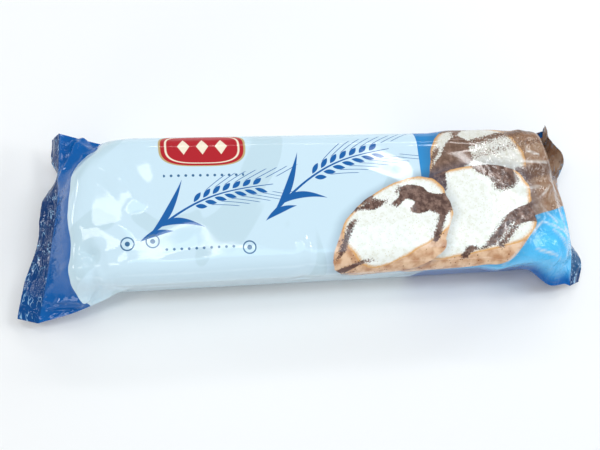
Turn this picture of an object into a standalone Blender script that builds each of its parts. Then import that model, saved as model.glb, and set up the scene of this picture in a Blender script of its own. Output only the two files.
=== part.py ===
"""A long loaf cake sealed in a printed flow wrap, lying on its back seam: one closed film envelope.

+X runs along the pack towards the picture end of the print, +Y across it towards the top of the print,
and +Z up out of the front panel. The origin is on the ground, under the middle of the pack's box.
"""

import math
from dataclasses import dataclass

import bmesh
import bpy
from mathutils import Vector

# The wrapped cake, in metres. Its tin made it a little narrower at the base than at the shoulders.
BODY_HEIGHT = 0.050
SHOULDER_WIDTH = 0.089
BASE_WIDTH = 0.083
SHOULDER_RADIUS = 0.0115
BASE_RADIUS = 0.0085
CROWN = 0.0016
END_EDGE_RADIUS = 0.0045

# Each end seal is the film tube pressed flat and crimped. Its excess width lies in small pleats.
SEAL_THICKNESS = 0.0012
SEAL_DEPTH = 0.0125
SEAL_WAVE = 0.0011
SEAL_WAVE_LENGTH = 0.053

# Between the cake and a seal the film's sides draw together into ears at this height. Film at the ears
# leaves the cake early, film over the panels stays on it to its end edge, and the rest changes over
# this band of the section, as shares of half the body's height counted from the ear. It all starts
# gently, over the flare's first stretch.
EAR_HEIGHT = 0.024
EAR_BAND = (0.10, 0.85)
EAR_SOFTNESS = 0.20
FLARE_LENGTH = 0.036
FLARE_EASE = 0.020

# The back seam is a flap folded flat under the pack, with the film beside it lifted off the ground.
SEAM_WIDTH = 0.013
SEAM_STEP = 0.0006
SEAM_LIFT_WIDTH = 0.030

# The front panel's slow rise and fall over the cake's uneven top.
SWELL = 0.0009
SWELL_ALONG = 0.021
SWELL_ACROSS = 0.019
SWELL_SLANT = 0.050
SWELL_HALF_WIDTH = 0.045

# Folds fade out before the film is pressed against film: over this share of half its width before an
# ear, and over this share of the slope before a seal.
EAR_FADE = 0.06
SEAL_FADE = 0.30

# Mesh steps along each stretch of the film.
BODY_STEPS = 34
FLARE_STEPS = 12
SLOPE_STEPS = 7
SEAL_STEPS = 4
WALL_STEPS = 3
CORNER_STEPS = 5
PANEL_STEPS = 14

FILM_COLOUR = (0.62, 0.78, 0.87, 1.0)
FILM_ROUGHNESS = 0.22
SHARP_ANGLE = math.radians(38)


@dataclass
class End:
    """One end of the pack, near meaning towards -Y and lengths along the pack counted from its middle.

    The last five are curves through (place, value) keys. cake_end runs over y, and says how far out the
    film leaves the cake's top edge. pouch runs over the length, and says how much the near ear bags out.
    The others run over the seal, from -1 at the near ear to 1 at the far ear: how far out its inner line
    lies, how high, and how many degrees it leans down from level. The seal's near corner is cut off by
    seal_cut.
    """

    side: int
    ear_near: float
    ear_far: float
    seal_near: float
    seal_far: float
    seal_cut: float
    cake_end: tuple
    pouch: tuple
    roots: tuple
    levels: tuple
    leans: tuple


LEFT = End(
    side=-1,
    ear_near=0.116,
    ear_far=0.120,
    seal_near=0.0585,
    seal_far=0.0540,
    seal_cut=0.0040,
    cake_end=(
        (-0.046, 0.1435), (-0.038, 0.1480), (-0.012, 0.1500), (0.010, 0.1485), (0.024, 0.1440),
        (0.036, 0.1290), (0.046, 0.1200),
    ),
    pouch=((0.125, 0.0), (0.148, 0.0015), (0.168, 0.0)),
    roots=((-1, 0.1690), (-0.60, 0.1638), (-0.25, 0.1603), (0.20, 0.1565), (0.55, 0.1555), (1, 0.1545)),
    levels=((-1, 0.013), (-0.50, 0.018), (0.30, 0.021), (1, 0.024)),
    leans=((-1, 18), (-0.60, 22), (-0.20, 38), (0.25, 44), (0.56, 80), (0.75, 62), (1, 66)),
)
RIGHT = End(
    side=1,
    ear_near=0.134,
    ear_far=0.136,
    seal_near=0.0555,
    seal_far=0.0510,
    seal_cut=0.0035,
    cake_end=((-0.046, 0.1505), (-0.036, 0.1525), (0, 0.1515), (0.036, 0.1515), (0.046, 0.1490)),
    pouch=((0.138, 0.0), (0.151, 0.0055), (0.165, 0.0)),
    roots=((-1, 0.1690), (-0.55, 0.1710), (0, 0.1690), (0.40, 0.1640), (0.60, 0.1610), (1, 0.1640)),
    levels=((-1, 0.014), (-0.50, 0.020), (0.30, 0.022), (1, 0.021)),
    leans=((-1, 32), (-0.72, 36), (-0.45, 64), (0.30, 58), (0.46, 22), (0.72, -88), (1, -112)),
)

BODY_HALF = 0.112


@dataclass
class Fold:
    """A straight crease in the top of the film, between two points of it as seen from above.

    Its height is the crest's, or the trough's if negative, and it fades out over its width to both sides.
    """

    start: tuple
    end: tuple
    width: float
    height: float


FOLDS = (
    # left end: a pushed-in star, the deepest of its arms down to the near shoulder
    Fold((-0.137, -0.025), (-0.150, -0.016), 0.012, -0.0022),
    Fold((-0.137, -0.025), (-0.112, -0.018), 0.012, -0.0012),
    Fold((-0.137, -0.025), (-0.1345, -0.052), 0.008, -0.0030),
    Fold((-0.141, -0.030), (-0.140, -0.052), 0.007, 0.0018),
    Fold((-0.135, 0.029), (-0.115, 0.012), 0.010, 0.0012),
    # left end: the rolled ridge over the far ear with a valley beside it, and the near corner's ridge
    Fold((-0.153, 0.026), (-0.141, 0.050), 0.006, 0.0036),
    Fold((-0.151, 0.040), (-0.149, 0.055), 0.006, -0.0030),
    Fold((-0.146, -0.045), (-0.166, -0.043), 0.007, 0.0022),
    # right end: creases that cross the picture, and the facet that runs up from the near corner
    Fold((0.116, 0.035), (0.127, 0.022), 0.010, 0.0015),
    Fold((0.127, 0.022), (0.147, 0.022), 0.008, 0.0015),
    Fold((0.122, 0.008), (0.146, 0.006), 0.008, 0.0015),
    Fold((0.146, 0.006), (0.137, -0.009), 0.007, 0.0015),
    Fold((0.137, -0.009), (0.146, -0.018), 0.007, 0.0014),
    Fold((0.110, -0.042), (0.135, -0.0175), 0.010, 0.0020),
    Fold((0.135, -0.0175), (0.156, -0.026), 0.008, 0.0013),
    Fold((0.149, -0.029), (0.155, -0.038), 0.006, 0.0016),
    # the far shoulder stands a little off the cake towards the right end
    Fold((0.085, 0.044), (0.146, 0.044), 0.014, 0.0017),
)


def clear_scene():
    for found in list(bpy.data.objects):
        bpy.data.objects.remove(found)


def mix(a, b, share):
    return a + (b - a) * share


def smooth(value):
    """0 below 0, 1 above 1, and a smooth step between."""
    value = min(max(value, 0.0), 1.0)
    return value * value * (3 - 2 * value)


def hinge(value, softness):
    """Near 0 below 0 and nearly straight up to 1 at 1: film that bends over an edge and then runs on straight."""
    def ramp(t):
        return (math.sqrt(t * t + softness * softness) + t) / 2

    return ramp(value) / ramp(1.0)


def through(keys, place):
    """The smooth curve through (place, value) keys, level beyond the first and the last."""
    if place <= keys[0][0]:
        return keys[0][1]
    if place >= keys[-1][0]:
        return keys[-1][1]
    after = next(i for i, key in enumerate(keys) if key[0] > place)
    before = after - 1
    width = keys[after][0] - keys[before][0]
    t = (place - keys[before][0]) / width

    def slope(i):
        low, high = keys[max(i - 1, 0)], keys[min(i + 1, len(keys) - 1)]
        return (high[1] - low[1]) / (high[0] - low[0])

    bend_in = width * slope(before) * t * (1 - t) ** 2
    bend_out = width * slope(after) * t * t * (1 - t)
    return mix(keys[before][1], keys[after][1], smooth(t)) + bend_in - bend_out


def fillet(before, corner, after, radius, steps):
    """Points of the arc that rounds a corner, from the edge that arrives to the edge that leaves."""
    arriving = (corner - before).normalized()
    leaving = (after - corner).normalized()
    turn = arriving.angle(leaving)
    cut = radius * math.tan(turn / 2)
    start = corner - arriving * cut
    inward = (leaving - arriving).normalized()
    centre = corner + inward * radius / math.cos(turn / 2)
    side = 1 if arriving.cross(leaving) > 0 else -1
    arm = start - centre
    points = []
    for i in range(steps + 1):
        angle = side * turn * i / steps
        points.append(
            centre
            + Vector((
                arm.x * math.cos(angle) - arm.y * math.sin(angle),
                arm.x * math.sin(angle) + arm.y * math.cos(angle),
            ))
        )
    return points


def between(start, end, steps):
    """The points strictly between two points, evenly spaced."""
    return [start.lerp(end, i / steps) for i in range(1, steps)]


def crown_height(y):
    """How far the cake's top rises above its shoulders."""
    return CROWN * (1 - (2 * y / SHOULDER_WIDTH) ** 2)


def seam_lift(y):
    """How far the underside stands off the ground beside the back seam's flap."""
    beyond = abs(y) - SEAM_WIDTH / 2
    if beyond <= 0:
        return 0.0
    return SEAM_STEP * (1 - smooth(beyond / (SEAM_LIFT_WIDTH / 2)))


def body_sheets():
    """The body's section as two lists of (y, z) from the near ear to the far ear: its top and its base."""
    half_top = SHOULDER_WIDTH / 2
    half_base = BASE_WIDTH / 2
    ear = Vector((-mix(half_base, half_top, EAR_HEIGHT / BODY_HEIGHT), EAR_HEIGHT))
    shoulder = Vector((-half_top, BODY_HEIGHT))
    heel = Vector((-half_base, 0.0))
    middle_top = Vector((0.0, BODY_HEIGHT))
    middle_base = Vector((0.0, 0.0))

    arc = fillet(ear, shoulder, middle_top, SHOULDER_RADIUS, CORNER_STEPS)
    near_top = [ear] + between(ear, arc[0], WALL_STEPS) + arc
    far_top = [Vector((-p.x, p.y)) for p in reversed(near_top)]
    top = near_top + between(arc[-1], far_top[0], PANEL_STEPS) + far_top

    arc = fillet(ear, heel, middle_base, BASE_RADIUS, CORNER_STEPS)
    near_base = [ear] + between(ear, arc[0], WALL_STEPS) + arc
    far_base = [Vector((-p.x, p.y)) for p in reversed(near_base)]
    # The underside's points stand at the seam flap's edges, so that the step there is sharp.
    edge = SEAM_WIDTH / 2
    half_flat = [edge / 2, edge, edge + SEAM_STEP, edge + SEAM_LIFT_WIDTH / 4]
    flat = [-y for y in reversed(half_flat)] + [0.0] + half_flat
    base = near_base + [Vector((y, 0.0)) for y in flat] + far_base
    top = [p + Vector((0.0, crown_height(p.x) if p.y > EAR_HEIGHT else 0.0)) for p in top]
    base = [Vector((p.x, seam_lift(p.x) if p.y < 1e-9 else p.y)) for p in base]
    return top, base


def flat_widths(sheet):
    """How far each point of a sheet lies across the flat film, counted from its middle."""
    run = [0.0]
    for a, b in zip(sheet, sheet[1:]):
        run.append(run[-1] + (b - a).length)
    return [r - run[-1] / 2 for r in run]


def seal_point(end, share, out, face):
    """A point of the end seal: share is across it, out from its root in metres, face 1 on its upper side."""
    cut = end.seal_cut * out / SEAL_DEPTH
    y = share * (end.seal_far if share > 0 else end.seal_near - cut)
    lean = math.radians(through(end.leans, share))
    outwards = Vector((math.cos(lean), -math.sin(lean)))
    upwards = Vector((math.sin(lean), math.cos(lean)))
    wave = SEAL_WAVE * math.sin(math.tau * y / SEAL_WAVE_LENGTH) * smooth(out / SEAL_DEPTH)
    layer = face * SEAL_THICKNESS / 2 * (1 - abs(share) ** 8)
    place = Vector((through(end.roots, share), through(end.levels, share)))
    place += outwards * out + upwards * (layer + wave)
    return Vector((end.side * place.x, y, place.y))


def film_point(end, section, share, along, step_out, face):
    """A point of the film between the body and one end's seal.

    along is the distance from where the rows start to spread, up to FLARE_LENGTH at the cake's end, and
    step_out the share of the slope from there down to the seal's root.
    """
    y, z = section
    leave = through(end.cake_end, y)
    root = seal_point(end, share, 0.0, face)
    reach = abs(root.x)
    x = BODY_HALF + along * (leave - BODY_HALF) / FLARE_LENGTH
    x = mix(x, reach, step_out)
    above = abs(z - EAR_HEIGHT) / (BODY_HEIGHT / 2)
    hug = smooth((above - EAR_BAND[0]) / (EAR_BAND[1] - EAR_BAND[0]))
    ear = end.ear_far if y > 0 else end.ear_near
    leaves_at = mix(ear, leave - END_EDGE_RADIUS / 3, hug)
    softness = mix(EAR_SOFTNESS, END_EDGE_RADIUS / max(reach - leave, END_EDGE_RADIUS), hug)
    share_down = hinge((x - leaves_at) / (reach - leaves_at), softness) * smooth(along / FLARE_EASE)
    bag = through(end.pouch, x) * (1 - hug) if y < 0 else 0.0
    return Vector((end.side * x, mix(y, root.y, share_down) - bag, mix(z, root.z, share_down)))


def fold_height(place):
    """The film's height over its smooth shape at a place seen from above, from every fold near it."""
    height = 0.0
    for fold in FOLDS:
        start, end = Vector(fold.start), Vector(fold.end)
        run = end - start
        share = (place - start).dot(run) / run.length_squared
        nearest = start + run * min(max(share, 0.0), 1.0)
        distance = (place - nearest).length
        if distance < fold.width:
            height += fold.height * smooth(1 - distance / fold.width)
    return height


def swell_height(place):
    """The slow rise and fall of the front panel at a place (along the pack, across the flat film)."""
    along, across = place
    strength = max(0.0, 1 - (across / SWELL_HALF_WIDTH) ** 2)
    wave = math.sin(along / SWELL_ALONG) * math.cos(across / SWELL_ACROSS + along / SWELL_SLANT)
    return SWELL * strength * (wave - 0.5)


def stations():
    """(along, step_out, out) of each loop from the start of the flare to the seal's outer edge."""
    flare = [(FLARE_LENGTH * i / FLARE_STEPS, 0.0, None) for i in range(1, FLARE_STEPS + 1)]
    slope = [(FLARE_LENGTH, i / SLOPE_STEPS, None) for i in range(1, SLOPE_STEPS)]
    seal = [(None, None, SEAL_DEPTH * i / SEAL_STEPS) for i in range(SEAL_STEPS + 1)]
    return flare + slope + seal


def end_loops(end, top, base):
    """The loops of one end, each a list of points round the film, from the flare out to the seal's edge."""
    loops = []
    for along, step_out, out in stations():
        loop = []
        for sheet, face in ((top, 1), (base, -1)):
            widths = flat_widths(sheet)
            row = []
            for section, width in zip(sheet, widths):
                share = width / widths[-1]
                if out is None:
                    row.append(film_point(end, section, share, along, step_out, face))
                else:
                    row.append(seal_point(end, share, out, face))
            loop += row if face > 0 else row[-2:0:-1]
        loops.append(loop)
    return loops


def body_loops(top, base):
    loops = []
    for i in range(BODY_STEPS + 1):
        x = mix(-BODY_HALF, BODY_HALF, i / BODY_STEPS)
        round_the_film = top + base[-2:0:-1]
        loops.append([Vector((x, p.x, p.y)) for p in round_the_film])
    return loops


def join_loops(bm, rows):
    """Faces between each loop and the next, and between the two sides of the film at both ends."""
    around = len(rows[0])
    for a, b in zip(rows, rows[1:]):
        for i in range(around):
            j = (i + 1) % around
            bm.faces.new((a[i], b[i], b[j], a[j]))
    across = around // 2
    for row in (rows[0], rows[-1]):
        for i in range(across):
            upper = [row[i], row[i + 1]]
            lower = [row[(around - i - 1) % around], row[(around - i) % around]]
            corners = list(dict.fromkeys(upper + lower))
            bm.faces.new(corners)
    bmesh.ops.recalc_face_normals(bm, faces=bm.faces)


def fold_room(row):
    """The share of a fold's height that the film has room for, in a row counted from either seal's edge."""
    slope_rows = row - SEAL_STEPS
    return smooth(slope_rows / (SLOPE_STEPS * SEAL_FADE))


def crease_film(bm, rows, top):
    """Moves the upper sheet along its normals by its folds."""
    bm.normal_update()
    widths = flat_widths(top)
    moves = []
    for i, row in enumerate(rows):
        room = fold_room(min(i, len(rows) - 1 - i))
        for vertex, width in zip(row, widths):
            lift = fold_height(vertex.co.xy) + swell_height((vertex.co.x, width))
            edge = smooth((1 - abs(width / widths[-1])) / EAR_FADE)
            moves.append((vertex, vertex.normal * lift * edge * room))
    for vertex, move in moves:
        vertex.co += move


def centre_on_ground(bm):
    """Puts the origin on the ground under the middle of the pack's box."""
    low = Vector(min(v.co[i] for v in bm.verts) for i in range(3))
    high = Vector(max(v.co[i] for v in bm.verts) for i in range(3))
    middle = (low + high) / 2
    bmesh.ops.translate(bm, verts=bm.verts, vec=(-middle.x, -middle.y, -low.z))


def film_material():
    material = bpy.data.materials.new("printed_film")
    material.use_nodes = True
    shader = material.node_tree.nodes["Principled BSDF"]
    shader.inputs["Base Color"].default_value = FILM_COLOUR
    shader.inputs["Roughness"].default_value = FILM_ROUGHNESS
    shader.inputs["Metallic"].default_value = 0.0
    return material


def make_wrap():
    top, base = body_sheets()
    left = end_loops(LEFT, top, base)
    right = end_loops(RIGHT, top, base)
    loops = list(reversed(left)) + body_loops(top, base) + right
    bm = bmesh.new()
    rows = [[bm.verts.new(point) for point in loop] for loop in loops]
    join_loops(bm, rows)
    crease_film(bm, rows, top)
    centre_on_ground(bm)
    mesh = bpy.data.meshes.new("flow_wrap")
    bm.to_mesh(mesh)
    bm.free()
    mesh.materials.append(film_material())
    mesh.shade_smooth()
    mesh.set_sharp_from_angle(angle=SHARP_ANGLE)
    wrap = bpy.data.objects.new("flow_wrap", mesh)
    bpy.context.scene.collection.objects.link(wrap)
    return wrap


clear_scene()
make_wrap()
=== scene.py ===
"""A long loaf cake sealed in glossy printed flow wrap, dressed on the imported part's frame.

The film is one sheet, modelled flat, laid round the cake and pinched into a seal at both ends. Its UV map
is the flat film in metres: U runs along the pack from its middle, and V round it from the front panel's
middle line. The print is worked out on that map, so it goes round the shoulders as real print does.
"""

import math
from dataclasses import dataclass

import bmesh
import bpy
from mathutils import Matrix, Vector, noise


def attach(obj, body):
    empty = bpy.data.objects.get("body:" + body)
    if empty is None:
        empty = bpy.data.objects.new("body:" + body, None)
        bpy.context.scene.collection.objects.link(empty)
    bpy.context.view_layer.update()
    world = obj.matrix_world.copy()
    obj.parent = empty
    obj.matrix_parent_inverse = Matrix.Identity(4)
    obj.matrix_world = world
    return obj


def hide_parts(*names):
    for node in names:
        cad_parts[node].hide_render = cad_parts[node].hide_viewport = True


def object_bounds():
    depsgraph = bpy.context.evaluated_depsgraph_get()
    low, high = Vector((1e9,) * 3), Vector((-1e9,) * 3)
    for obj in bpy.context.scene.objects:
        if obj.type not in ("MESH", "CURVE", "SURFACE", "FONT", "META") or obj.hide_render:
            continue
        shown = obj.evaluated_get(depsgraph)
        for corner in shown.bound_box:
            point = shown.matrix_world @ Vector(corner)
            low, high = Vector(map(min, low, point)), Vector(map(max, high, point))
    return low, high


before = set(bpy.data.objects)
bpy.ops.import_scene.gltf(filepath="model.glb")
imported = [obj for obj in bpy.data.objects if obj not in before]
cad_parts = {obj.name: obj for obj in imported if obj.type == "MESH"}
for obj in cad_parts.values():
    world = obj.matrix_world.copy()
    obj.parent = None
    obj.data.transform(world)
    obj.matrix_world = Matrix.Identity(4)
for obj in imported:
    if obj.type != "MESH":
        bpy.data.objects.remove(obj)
cad_low, cad_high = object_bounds()

# The wrapped cake and its film, in metres, as in the part's own source.
BODY_HEIGHT = 0.050
SHOULDER_WIDTH = 0.089
BASE_WIDTH = 0.083
SHOULDER_RADIUS = 0.0115
BASE_RADIUS = 0.0085
CROWN = 0.0016
END_EDGE_RADIUS = 0.0045
END_EDGE_LEAD = END_EDGE_RADIUS / 3
SEAL_DEPTH = 0.0125
SEAL_WAVE = 0.0011
SEAL_WAVE_LENGTH = 0.053
EAR_HEIGHT = 0.024
EAR_BAND = (0.10, 0.85)
EAR_SOFTNESS = 0.20
FLARE_LENGTH = 0.036
FLARE_EASE = 0.020
BODY_HALF = 0.112
SEAM_WIDTH = 0.013
SEAM_STEP = 0.0006
SEAM_LIFT_WIDTH = 0.030
ON_GROUND = 1e-9

# The front panel swells over the cake's uneven top, but not at the left end, whose film is taut.
SWELL = 0.0009
SWELL_LEVEL = 0.5
SWELL_ALONG = 0.021
SWELL_ACROSS = 0.019
SWELL_SLANT = 0.050
SWELL_HALF_WIDTH = 0.045
FLAT_UP_TO = 0.124
FLAT_SPREAD = 0.030

# Two layers of film pressed together, a little thicker than real ones so that they stay apart. The
# thickness runs out where they are one, at the ears.
SEAL_THICKNESS = 0.0004
SEAL_EDGE_POWER = 16

# The seal's jaws leave fine ridges along its inner half, stronger in patches, and its outer half crinkles.
CRIMP_STEP = 0.00125
CRIMP_DEPTH = 0.00026
CRIMP_FROM = 0.0008
CRIMP_TO = 0.0066
CRIMP_FADE_IN = 0.0008
CRIMP_FADE_OUT = 0.0010
CRIMP_WOBBLE = 0.0005
CRIMP_SHARE = 0.6
CRIMP_PATCHES = 0.8
CRINKLE = 0.0011
CRINKLE_FROM = 0.6 * CRIMP_TO
CRINKLE_LEVEL = 0.2

# Where the left end was drawn together, the print slid outwards over the far and the near shoulder.
PULL_START = 0.100
PULL_LENGTH = 0.035
PULL_FAR_FROM = 0.026
PULL_NEAR_FROM = 0.042
PULL_SPREAD = 0.024
PULL_FAR = 0.024
PULL_NEAR = 0.009
PULL_BACK_FROM = 0.075
PULL_BACK_SPREAD = 0.035

# Mesh steps along each stretch of the film, and round it.
BODY_ROWS = 110
FLARE_ROWS = 42
SLOPE_ROWS = 32
SEAL_ROWS = 40
PANEL_STEPS = 56
CORNER_STEPS = 14
WALL_STEPS = 10


@dataclass
class End:
    """One end of the pack, near meaning towards -Y and lengths along the pack counted from its middle.

    The last five are curves through (place, value) keys. cake_end runs over y, and says how far out the
    film leaves the cake's top edge. pouch runs over the length, and says how much the near ear bags out.
    The others run over the seal, from -1 at the near ear to 1 at the far ear: how far out its inner line
    lies, how high, and how many degrees it leans down from level. The seal's near corner is cut off by
    seal_cut.
    """

    side: int
    ear_near: float
    ear_far: float
    seal_near: float
    seal_far: float
    seal_cut: float
    cake_end: tuple
    pouch: tuple
    roots: tuple
    levels: tuple
    leans: tuple


LEFT = End(
    side=-1,
    ear_near=0.116,
    ear_far=0.120,
    seal_near=0.0585,
    seal_far=0.0540,
    seal_cut=0.0040,
    cake_end=(
        (-0.046, 0.1435), (-0.038, 0.1480), (-0.012, 0.1500), (0.010, 0.1485), (0.024, 0.1440),
        (0.036, 0.1290), (0.046, 0.1200),
    ),
    pouch=((0.125, 0.0), (0.148, 0.0015), (0.168, 0.0)),
    roots=((-1, 0.1690), (-0.60, 0.1638), (-0.25, 0.1603), (0.20, 0.1565), (0.55, 0.1555), (1, 0.1545)),
    levels=((-1, 0.013), (-0.50, 0.018), (0.30, 0.021), (1, 0.024)),
    leans=((-1, 18), (-0.60, 22), (-0.20, 38), (0.25, 44), (0.56, 80), (0.75, 62), (1, 66)),
)
RIGHT = End(
    side=1,
    ear_near=0.134,
    ear_far=0.136,
    seal_near=0.0555,
    seal_far=0.0510,
    seal_cut=0.0035,
    cake_end=((-0.046, 0.1505), (-0.036, 0.1525), (0, 0.1515), (0.036, 0.1515), (0.046, 0.1490)),
    pouch=((0.138, 0.0), (0.151, 0.0055), (0.165, 0.0)),
    roots=((-1, 0.1690), (-0.55, 0.1710), (0, 0.1690), (0.40, 0.1640), (0.60, 0.1610), (1, 0.1640)),
    levels=((-1, 0.014), (-0.50, 0.020), (0.30, 0.022), (1, 0.021)),
    leans=((-1, 32), (-0.72, 36), (-0.45, 64), (0.30, 58), (0.46, 22), (0.72, -88), (1, -112)),
)


@dataclass
class Fold:
    """A straight crease in the top of the film, between two points of it as seen from above.

    Its height is the crest's, or the trough's if negative, and it fades out over its width to both sides.
    """

    start: tuple
    end: tuple
    width: float
    height: float


# A fold's crest is rounded off over FOLD_EDGE, and its sides are nearly flat facets.
FOLD_EDGE = 0.0005
FOLD_CURVE = 1.2

FOLDS = (
    # left end: a pushed-in star, with facets between its arms, the deepest down to the near shoulder
    Fold((-0.137, -0.025), (-0.150, -0.016), 0.015, -0.0013),
    Fold((-0.137, -0.025), (-0.126, -0.023), 0.015, -0.0013),
    Fold((-0.130, -0.036), (-0.128, -0.042), 0.009, -0.0010),
    Fold((-0.137, -0.026), (-0.1345, -0.052), 0.009, -0.0024),
    Fold((-0.141, -0.031), (-0.140, -0.052), 0.007, 0.0014),
    Fold((-0.147, -0.033), (-0.139, -0.030), 0.008, 0.0009),
    Fold((-0.131, -0.040), (-0.130, -0.054), 0.006, 0.0012),
    # left end: soft ridges that catch the light in the panel
    Fold((-0.135, 0.029), (-0.119, 0.018), 0.010, 0.0009),
    Fold((-0.119, 0.018), (-0.112, 0.006), 0.010, 0.0009),
    Fold((-0.117, 0.034), (-0.114, 0.020), 0.013, -0.0008),
    Fold((-0.152, 0.008), (-0.147, -0.006), 0.008, 0.0010),
    Fold((-0.100, -0.030), (-0.080, -0.024), 0.016, -0.0005),
    # left end, far corner: the rolled ridge over the ear and the valleys beside it
    Fold((-0.153, 0.026), (-0.141, 0.050), 0.005, 0.0034),
    Fold((-0.151, 0.040), (-0.149, 0.055), 0.005, -0.0030),
    Fold((-0.136, 0.042), (-0.133, 0.050), 0.006, -0.0022),
    Fold((-0.146, 0.047), (-0.137, 0.043), 0.003, 0.0012),
    # left end, near corner: from the cake's corner out to the seal
    Fold((-0.146, -0.045), (-0.166, -0.043), 0.006, 0.0020),
    Fold((-0.142, -0.052), (-0.160, -0.051), 0.005, -0.0016),
    Fold((-0.150, -0.030), (-0.164, -0.040), 0.006, 0.0009),
    # left end, near ear: short sharp ridges in the slack film
    Fold((-0.1400, -0.0450), (-0.1560, -0.0440), 0.0022, 0.0022),
    Fold((-0.1450, -0.0480), (-0.1630, -0.0478), 0.0020, 0.0018),
    Fold((-0.1500, -0.0415), (-0.1600, -0.0455), 0.0018, 0.0014),
    Fold((-0.1360, -0.0425), (-0.1440, -0.0465), 0.0018, 0.0014),
    # middle: a small pinch in the near shoulder, and slow ripples
    Fold((-0.0165, -0.0225), (-0.0125, -0.0345), 0.005, 0.0009),
    Fold((-0.0125, -0.0345), (-0.0150, -0.044), 0.007, -0.0006),
    Fold((-0.065, 0.012), (-0.030, 0.004), 0.020, -0.0005),
    Fold((0.010, 0.026), (0.040, 0.014), 0.018, 0.0005),
    Fold((0.044, -0.012), (0.052, -0.036), 0.014, 0.0005),
    # right end: creases that cross the picture
    Fold((0.116, 0.035), (0.127, 0.022), 0.010, 0.0013),
    Fold((0.127, 0.022), (0.147, 0.022), 0.006, 0.0013),
    Fold((0.133, 0.045), (0.133, 0.029), 0.006, 0.0012),
    Fold((0.133, 0.029), (0.142, 0.027), 0.005, 0.0009),
    Fold((0.142, 0.033), (0.145, 0.024), 0.005, -0.0010),
    Fold((0.122, 0.019), (0.122, 0.008), 0.006, 0.0010),
    Fold((0.122, 0.008), (0.127, 0.0045), 0.006, 0.0009),
    Fold((0.127, 0.0045), (0.146, 0.006), 0.006, 0.0012),
    Fold((0.146, 0.006), (0.135, -0.0035), 0.005, 0.0013),
    Fold((0.135, -0.0035), (0.137, -0.009), 0.005, 0.0013),
    Fold((0.137, -0.009), (0.146, -0.018), 0.005, 0.0012),
    Fold((0.148, 0.001), (0.144, -0.010), 0.004, -0.0014),
    Fold((0.150, -0.006), (0.154, -0.018), 0.004, 0.0012),
    # right end: the bright facet that runs from the near corner over the panel
    Fold((0.110, -0.042), (0.135, -0.0175), 0.011, 0.0022),
    Fold((0.135, -0.0175), (0.156, -0.026), 0.008, 0.0016),
    Fold((0.128, -0.034), (0.146, -0.0385), 0.008, 0.0010),
    Fold((0.142, -0.023), (0.149, -0.029), 0.005, 0.0014),
    Fold((0.149, -0.029), (0.155, -0.038), 0.004, 0.0014),
    Fold((0.146, -0.030), (0.151, -0.042), 0.005, -0.0012),
    # the far shoulder stands a little off the cake towards the right end
    Fold((0.085, 0.044), (0.146, 0.044), 0.014, 0.0017),
)

# A pale highlight is painted along the crests of the folds beyond so far to the right, over such a width.
CREST_HIGHLIGHTS_FROM = 0.105
CREST_HIGHLIGHT_WIDTH = 0.0011

# Film that is pulled together into a seal lies in pleats, which fade out up the slope.
PLEAT_STEP = 0.0068
PLEAT_HEIGHT = 0.0007
PLEAT_LEVEL = 0.3
PLEAT_DRIFT = 0.9
PLEAT_START = 0.003
PLEAT_REACH = 0.016
SLOPE_REACH = 0.026

# Crumpled film: sharp-edged facets of two sizes, strong at the ends and faint on the body.
CRUMPLE_SIZES = (0.017, 0.0075)
CRUMPLE_HEIGHTS = (0.0015, 0.00065)
CRUMPLE_LEVEL = 0.45
CRUMPLE_STRETCH = 0.55
CRUMPLE_BEND = 0.6
CRUMPLE_DEPTH = 1.7
BODY_CRUMPLE = 0.03
LEFT_CRUMPLE = 0.75
LEFT_CRUMPLE_FROM = 0.138
RIGHT_CRUMPLE_FROM = 0.100
CRUMPLE_SPREAD = 0.035

# Long, faint ripples of taut film along the pack.
RIPPLE_HEIGHT = 0.00005

# Creases are lower under the pack, none where the film lies on the ground, and none where it is pressed
# on film: over such shares of the way at the seals' roots and at the ears.
UNDER_CREASE = 0.6
GROUND_BAND = 0.004
ROOT_ROOM = 0.12
EAR_ROOM = 0.05

# The random bumps in the film: a kind's sizes in the two ways that it is read, and the depth in the noise
# at which it is read.
BUMPS = {
    "crimp wobble": (0.006, 0.010, 3.0),
    "crimp patches": (0.004, 0.003, 5.0),
    "crinkle": (0.0055, 0.0055, 7.0),
    "pleat drift": (0.014, 0.2, 0.0),
    "ripple": (0.060, 0.014, 0.0),
    "seam wave": (0.030, 1.0, 9.0),
}

# The camera, fitted to the photo's outline: what it looks at, from where, and how it is turned.
VIEW_TARGET = Vector((-0.0122, -0.0069, 0.025))
VIEW_AZIMUTH = math.radians(-40.48)
VIEW_ELEVATION = math.radians(71.84)
VIEW_ROLL = math.radians(36.70)
VIEW_DISTANCE = 0.4999
VIEW_LENS = 48.5
VIEW_NEAREST = 0.01

# Edges sharper than this stay sharp in the shading.
SHARP_ANGLE = math.radians(50)

# The back seam's flap, a little under the film that it is folded against.
SEAM_COLUMNS = 25
SEAM_DROP = 0.00032
SEAM_THICKNESS = 0.00020
SEAM_WAVE = 0.0012
SEAM_CRIMP = 0.00006
SEAM_CRIMP_STEP = 0.0021

FLOOR_SIZE = 6.0
FLOOR_GAP = 0.0001
FLOOR_COLOUR = (0.90, 0.90, 0.90, 1.0)
FLOOR_ROUGHNESS = 0.9

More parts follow.
